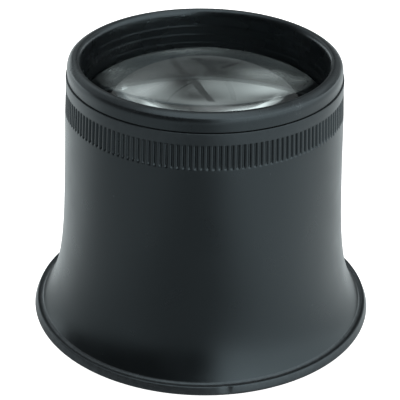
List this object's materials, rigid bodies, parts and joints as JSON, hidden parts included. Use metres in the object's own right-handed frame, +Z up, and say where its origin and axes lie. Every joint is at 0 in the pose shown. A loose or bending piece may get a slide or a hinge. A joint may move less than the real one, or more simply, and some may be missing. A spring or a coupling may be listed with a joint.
{
  "type": "eye loupe",
  "caption": "Flared black eyecup with a ribbed grip band, holding a convex magnifying lens under a threaded ring.",
  "frame": {"origin": "centre of the rim, on the plane that the rim rests on", "axes": "+Z up the optical axis, from the eye rim to the lens; the object is round about it"},
  "size_m": [0.038, 0.038, 0.03],
  "materials": {
    "eyecup_plastic": "semi-matte moulded near-black plastic with a broad soft sheen",
    "lens_glass": "clear polished glass with a faint green edge",
    "ring_plastic": "semi-matte moulded near-black plastic, a little smoother on the lip"
  },
  "bodies": {
    "cup": {"eyecup": "eyecup_plastic"},
    "optic": {"lens": "lens_glass"},
    "ring": {"lens_ring": "ring_plastic"}
  },
  "joints": [
    {"name": "ring_rise", "type": "slide", "parent": "cup", "child": "optic", "axis": [0, 0, 1], "range_m": [0, 0.0024]},
    {"name": "ring_turn", "type": "hinge", "parent": "optic", "child": "ring", "pos_m": [0, 0, 0.0281], "axis": [0, 0, 1], "range_deg": [0, 1080]}
  ],
  "couplings": [
    {"joint": "ring_rise", "follows": "ring_turn", "m_per_rad": 0.00012732}
  ]
}
